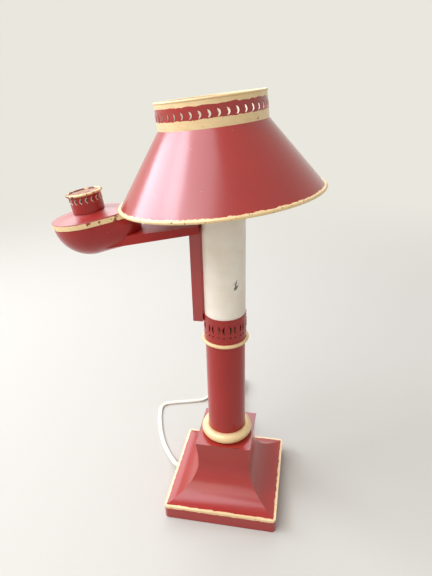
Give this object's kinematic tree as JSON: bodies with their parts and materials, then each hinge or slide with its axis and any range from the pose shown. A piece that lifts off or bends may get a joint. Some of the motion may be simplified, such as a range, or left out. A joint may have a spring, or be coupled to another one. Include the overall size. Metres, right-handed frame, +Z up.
{
  "type": "argand lamp",
  "caption": "Electrified tole Argand-style table lamp with a square base, column, candle tube, side reservoir, pierced cone shade, bulb and cord.",
  "frame": {"origin": "centre of the base's underside, on the surface that the lamp stands on", "axes": "+Z up along the column, the side arm and its reservoir point to -X, the viewer's side is -Y"},
  "size_m": [0.2379, 0.3357, 0.4074],
  "materials": {
    "red_enamel": "glossy oxblood enamel on tinplate",
    "gold_paint": "satin pale gold paint, worn in places",
    "cream_enamel": "satin cream paint with small chips",
    "plain_steel": "plain zinc-plated steel",
    "bare_brass": "plain turned brass",
    "cast_iron": "rough grey casting",
    "felt": "dense brown felt",
    "black_plastic": "moulded dark plastic",
    "black_rubber": "soft dark rubber",
    "cord_plastic": "soft ivory cord plastic",
    "frosted_glass": "inside-frosted lamp glass"
  },
  "bodies": {
    "stand": {"base_felt": "felt", "bottom_plate": "plain_steel", "base_weight": "cast_iron", "base_shell": "red_enamel", "bottom_nut": "bare_brass", "bottom_washer": "plain_steel", "threaded_pipe": "plain_steel", "inner_lead": "cord_plastic", "cord_bushing": "black_rubber", "collar_ring": "gold_paint", "column_foot": "plain_steel", "column_tube": "red_enamel", "bead_ring": "gold_paint", "gallery": "red_enamel", "candle_seat": "plain_steel", "lock_nut": "bare_brass", "candle_tube": "cream_enamel", "socket_body": "black_plastic", "screw_shell": "bare_brass", "centre_contact": "bare_brass", "terminal_screws": "bare_brass", "feed_duct": "red_enamel", "arm_duct": "red_enamel", "font_bowl": "red_enamel", "font_rim": "gold_paint", "font_lid": "red_enamel", "filler_neck": "plain_steel", "cord_lead": "cord_plastic", "cord_hank": "cord_plastic", "cord_tail": "cord_plastic", "cord_tie": "black_plastic", "plug_body": "cord_plastic", "plug_blades": "bare_brass"},
    "ring_nut": {"shade_ring_nut": "bare_brass"},
    "shade": {"shade_fitter": "bare_brass", "shade_cone": "red_enamel", "brim_bead": "gold_paint", "shade_crown": "red_enamel", "crown_bead": "gold_paint"},
    "filler_cap": {"cap_body": "red_enamel", "cap_top": "red_enamel", "cap_rim": "gold_paint"},
    "bulb": {"bulb_glass": "frosted_glass", "bulb_base": "bare_brass", "bulb_tip": "black_plastic"},
    "knob": {"switch_knob": "black_plastic"}
  },
  "joints": [
    {"name": "shade_swivel", "type": "hinge", "parent": "stand", "child": "ring_nut", "pos_m": [0, 0, 0.321], "axis": [0, 0, 1], "continuous": true},
    {"name": "shade_tilt", "type": "hinge", "parent": "ring_nut", "child": "shade", "pos_m": [0, 0, 0.31698], "axis": [0.2874, 0.9578, 0], "range_deg": [0, 12.8]},
    {"name": "filler_cap_lift", "type": "slide", "parent": "stand", "child": "filler_cap", "axis": [-0.165, 0, 0.9863], "range_m": [0, 0.025]},
    {"name": "bulb_turn", "type": "hinge", "parent": "stand", "child": "bulb", "pos_m": [0, 0, 0.32], "axis": [0, 0, 1], "continuous": true},
    {"name": "switch_turn", "type": "hinge", "parent": "stand", "child": "knob", "pos_m": [0, 0.02, 0.278], "axis": [0, 1, 0], "continuous": true}
  ]
}
